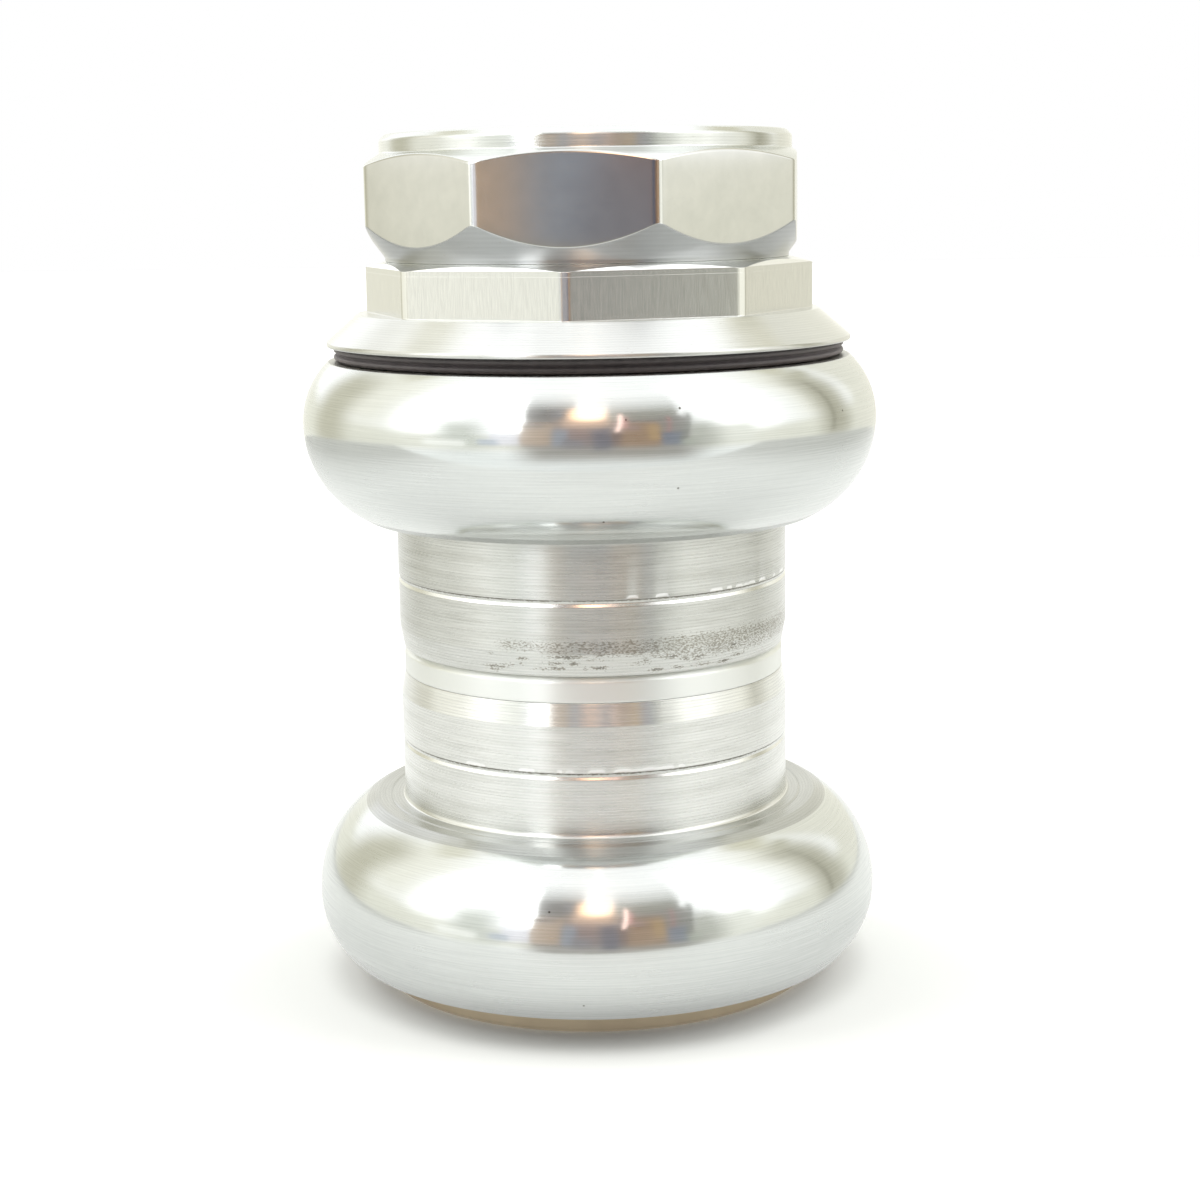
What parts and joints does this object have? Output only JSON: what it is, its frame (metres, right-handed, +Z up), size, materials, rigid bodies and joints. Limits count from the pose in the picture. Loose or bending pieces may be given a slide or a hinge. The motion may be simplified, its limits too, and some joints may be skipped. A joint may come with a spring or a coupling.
{
  "type": "bicycle headset",
  "caption": "Threaded bicycle headset: two round press cups with cartridge bearings, a crown race, a keyed washer, and an octagonal adjusting race and lock nut, stacked on one axis.",
  "frame": {"origin": "centre of the crown race's underside, which the stack stands on", "axes": "+Z up along the steering axis, towards the lock nut; a flat of the lock nut faces -Y and the washer's key faces +Y"},
  "size_m": [0.0496, 0.0496, 0.0734],
  "materials": {
    "polished_aluminium": "turned and polished",
    "satin_aluminium": "turned, satin flats",
    "washer_steel": "bright stamped",
    "crown_race_steel": "turned, dull",
    "bearing_steel": "ground",
    "cage_nylon": "moulded",
    "seal_rubber": "moulded, matt"
  },
  "bodies": {
    "cups": {"upper_cup": "polished_aluminium", "lower_cup": "polished_aluminium", "lock_washer": "washer_steel", "upper_outer_ring": "bearing_steel", "upper_rim_shield": "seal_rubber", "upper_floor_shield": "seal_rubber", "lower_outer_ring": "bearing_steel", "lower_rim_shield": "seal_rubber", "lower_floor_shield": "seal_rubber"},
    "upper_race": {"lock_nut": "satin_aluminium", "adjusting_race": "satin_aluminium", "race_seal": "seal_rubber", "upper_inner_ring": "bearing_steel"},
    "upper_ball_set": {"upper_balls": "bearing_steel", "upper_cage": "cage_nylon"},
    "lower_race": {"crown_race": "crown_race_steel", "crown_seal": "seal_rubber", "lower_inner_ring": "bearing_steel"},
    "lower_ball_set": {"lower_balls": "bearing_steel", "lower_cage": "cage_nylon"}
  },
  "joints": [
    {"name": "upper_race_turn", "type": "hinge", "parent": "cups", "child": "upper_race", "pos_m": [0, 0, 0.0522], "axis": [0, 0, 1], "continuous": true},
    {"name": "upper_balls_roll", "type": "hinge", "parent": "cups", "child": "upper_ball_set", "pos_m": [0, 0, 0.0482], "axis": [0, 0, 1], "continuous": true},
    {"name": "lower_race_turn", "type": "hinge", "parent": "cups", "child": "lower_race", "pos_m": [0, 0, 0.00445], "axis": [0, 0, 1], "continuous": true},
    {"name": "lower_balls_roll", "type": "hinge", "parent": "cups", "child": "lower_ball_set", "pos_m": [0, 0, 0.00845], "axis": [0, 0, 1], "continuous": true}
  ],
  "couplings": [
    {"joint": "upper_balls_roll", "follows": "upper_race_turn", "ratio": 0.4612},
    {"joint": "lower_balls_roll", "follows": "lower_race_turn", "ratio": 0.4612}
  ]
}
